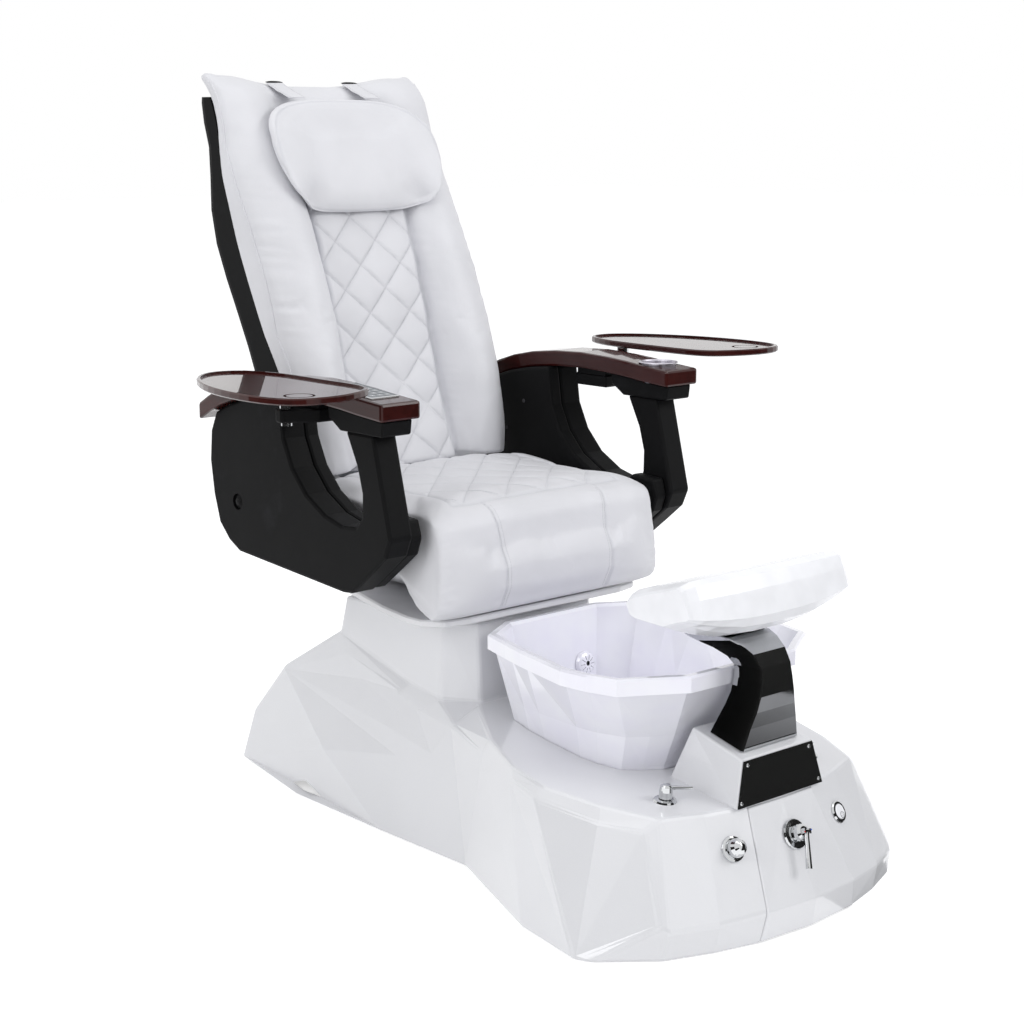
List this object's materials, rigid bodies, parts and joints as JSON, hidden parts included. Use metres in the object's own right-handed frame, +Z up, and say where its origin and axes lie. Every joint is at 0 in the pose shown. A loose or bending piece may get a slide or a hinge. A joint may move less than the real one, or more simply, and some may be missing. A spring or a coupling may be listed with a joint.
{
  "type": "pedicure spa chair",
  "caption": "Pedicure spa chair: reclining massage seat with quilted back, swivel trays and lifting arms on a faceted base with foot basin, footrest and taps.",
  "frame": {"origin": "on the floor under the middle of the chair's bounding box", "axes": "+Z up, -Y to the front (basin and taps), +X to the sitter's left"},
  "size_m": [1.3294, 1.5615, 1.4955],
  "materials": {
    "pearl_moulding": "pearl white gloss moulding",
    "basin_acrylic": "high gloss white acrylic, slightly lavender",
    "white_leather": "soft matt white synthetic leather",
    "black_plastic": "fine-grained matt black",
    "black_casting": "matt black paint",
    "mahogany": "dark red mahogany under high gloss lacquer",
    "chrome": "mirror polished",
    "steel": "zinc plated",
    "silver": "satin anodised",
    "keypad_grey": "speckled grey membrane",
    "gloss_white": "gloss white",
    "seat_frame_white": "white gloss paint",
    "motor_grey": "dark grey"
  },
  "bodies": {
    "base": {"base_shell": "pearl_moulding", "front_access_panel": "pearl_moulding", "basin": "basin_acrylic", "drain_strainer": "chrome", "waste_pipe": "motor_grey", "jet_cover": "basin_acrylic", "jet_motor": "motor_grey", "front_plate": "chrome", "footrest_column": "chrome", "footrest_hinge_pin": "steel", "drain_knob_ring": "chrome", "mixer_escutcheon": "chrome", "jet_switch_bezel": "chrome", "left_valve_flange": "chrome", "right_valve_flange": "chrome", "slide_rails": "steel", "slide_actuator": "motor_grey"},
    "seat": {"seat_pan": "seat_frame_white", "seat_cushion": "white_leather", "slide_runners": "steel", "slide_rod": "chrome", "pivot_shaft": "steel"},
    "back": {"back_cushion": "white_leather", "back_quilt_panel": "white_leather", "head_pillow": "white_leather", "left_pillow_strap": "white_leather", "right_pillow_strap": "white_leather", "back_shell": "black_plastic", "back_frame": "steel", "massage_rails": "steel"},
    "massage_unit": {"massage_carriage": "motor_grey"},
    "right_arm": {"right_arm_outer_shell": "black_plastic", "right_arm_inner_shell": "black_plastic", "right_pivot_cap": "black_casting", "right_armrest": "mahogany", "right_arm_saddle": "black_plastic", "right_tray_bracket": "black_casting", "keypad_frame": "chrome", "keypad_panel": "keypad_grey"},
    "left_arm": {"left_arm_outer_shell": "black_plastic", "left_arm_inner_shell": "black_plastic", "left_pivot_cap": "black_casting", "left_armrest": "mahogany", "left_arm_saddle": "black_plastic", "left_tray_bracket": "black_casting", "cup_holder": "silver"},
    "right_tray_body": {"right_tray": "mahogany", "right_tray_post": "chrome"},
    "left_tray_body": {"left_tray": "mahogany", "left_tray_post": "chrome"},
    "footrest": {"footrest_pad": "gloss_white", "footrest_hinge_leaf": "steel"},
    "drain_control": {"drain_knob": "chrome"},
    "mixer_body": {"mixer_turret": "chrome"},
    "mixer_handle": {"mixer_lever": "chrome"},
    "jet_button": {"jet_switch_button": "gloss_white"},
    "right_valve": {"right_valve_lever": "chrome"},
    "left_valve": {"left_valve_lever": "chrome"},
    "jet_wheel": {"jet_impeller": "motor_grey"}
  },
  "joints": [
    {"name": "seat_slide", "type": "slide", "parent": "base", "child": "seat", "axis": [0, 1, 0], "range_m": [-0.04, 0.05]},
    {"name": "back_recline", "type": "hinge", "parent": "seat", "child": "back", "pos_m": [0, 0.4, 0.654], "axis": [-1, 0, 0], "range_deg": [0, 35]},
    {"name": "massage_travel", "type": "slide", "parent": "back", "child": "massage_unit", "axis": [0, 0.4077, 0.9131], "range_m": [-0.17, 0.17]},
    {"name": "right_arm_lift", "type": "hinge", "parent": "seat", "child": "right_arm", "pos_m": [-0.345, 0.4, 0.654], "axis": [-1, 0, 0], "range_deg": [0, 80]},
    {"name": "left_arm_lift", "type": "hinge", "parent": "seat", "child": "left_arm", "pos_m": [0.345, 0.4, 0.654], "axis": [-1, 0, 0], "range_deg": [0, 80]},
    {"name": "right_tray_swivel", "type": "hinge", "parent": "right_arm", "child": "right_tray_body", "pos_m": [-0.448, 0.16, 0.9225], "axis": [0, 0, -1], "range_deg": [-95, 0]},
    {"name": "left_tray_swivel", "type": "hinge", "parent": "left_arm", "child": "left_tray_body", "pos_m": [0.448, 0.16, 0.9225], "axis": [0, 0, 1], "range_deg": [-95, 0]},
    {"name": "footrest_tilt", "type": "hinge", "parent": "base", "child": "footrest", "pos_m": [0, -0.494, 0.504], "axis": [-1, 0, 0], "range_deg": [0, 25]},
    {"name": "drain_knob_turn", "type": "hinge", "parent": "base", "child": "drain_control", "pos_m": [-0.143, -0.70666, 0.163], "axis": [-0.1767, -0.8727, 0.4551], "range_deg": [-90, 90]},
    {"name": "mixer_turn", "type": "hinge", "parent": "base", "child": "mixer_body", "pos_m": [0, -0.72504, 0.16051], "axis": [0, -0.8984, 0.4391], "range_deg": [-29, 61]},
    {"name": "mixer_lift", "type": "hinge", "parent": "mixer_body", "child": "mixer_handle", "pos_m": [0, -0.75173, 0.17355], "axis": [-0.9613, 0.121, 0.2476], "range_deg": [0, 25]},
    {"name": "jet_button_press", "type": "slide", "parent": "base", "child": "jet_button", "axis": [-0.1767, 0.8727, -0.4551], "range_m": [0, 0.0015], "stiffness_N_per_m": 800, "springref_m": -0.002},
    {"name": "right_valve_turn", "type": "hinge", "parent": "base", "child": "right_valve", "pos_m": [-0.192, -0.59, 0.23246], "axis": [0, -0.0987, 0.9951], "range_deg": [0, 90]},
    {"name": "left_valve_turn", "type": "hinge", "parent": "base", "child": "left_valve", "pos_m": [0.192, -0.59, 0.23246], "axis": [0, 0.0987, -0.9951], "range_deg": [0, 90]},
    {"name": "jet_impeller_spin", "type": "hinge", "parent": "base", "child": "jet_wheel", "pos_m": [0.066, -0.11909, 0.34008], "axis": [0, -0.9904, 0.138], "continuous": true}
  ]
}
